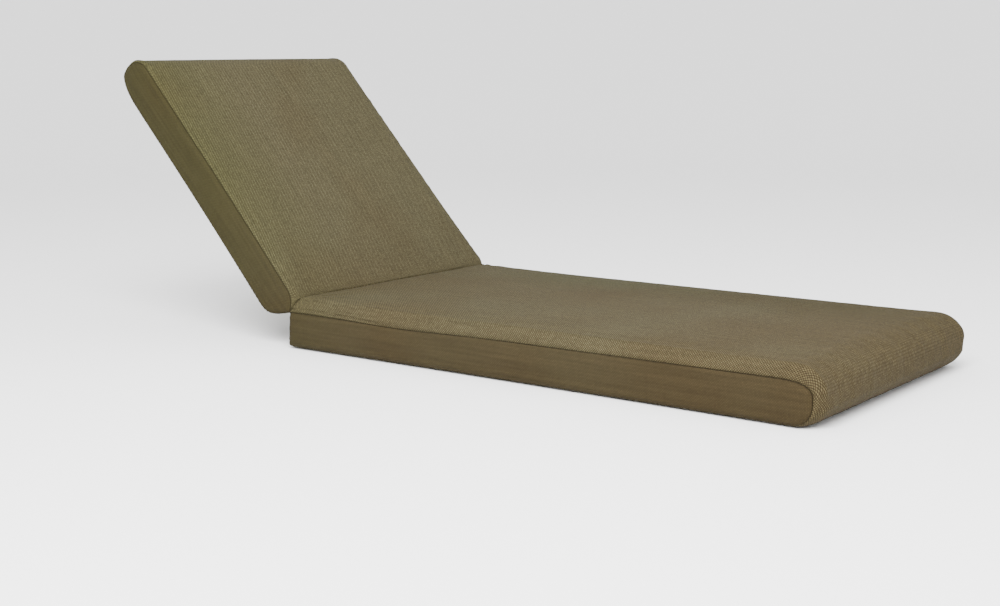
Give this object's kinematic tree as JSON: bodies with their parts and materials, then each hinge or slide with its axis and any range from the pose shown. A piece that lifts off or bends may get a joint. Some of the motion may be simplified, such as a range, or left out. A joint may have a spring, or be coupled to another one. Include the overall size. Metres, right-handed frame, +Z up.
{
  "type": "sun lounger cushion",
  "caption": "Long padded lounger cushion in two sections: a flat seat and a raised back that meet along one fold, with boxed sides and rounded ends.",
  "frame": {"origin": "centre of the box on the surface that the seat section lies on", "axes": "+X from the head end to the foot end, +Y across the cushion, +Z up from the resting face"},
  "size_m": [1.8402, 0.7046, 0.6412],
  "materials": {
    "main_cloth": "matt plain-woven outdoor cloth in mixed olive and brown yarns",
    "side_cloth": "the same matt woven outdoor cloth, with its yarns running along the side"
  },
  "bodies": {
    "root": {"seat_pad": "main_cloth", "back_pad": "main_cloth", "seat_side_left": "side_cloth", "seat_side_right": "side_cloth", "back_side_left": "side_cloth", "back_side_right": "side_cloth"}
  },
  "joints": []
}
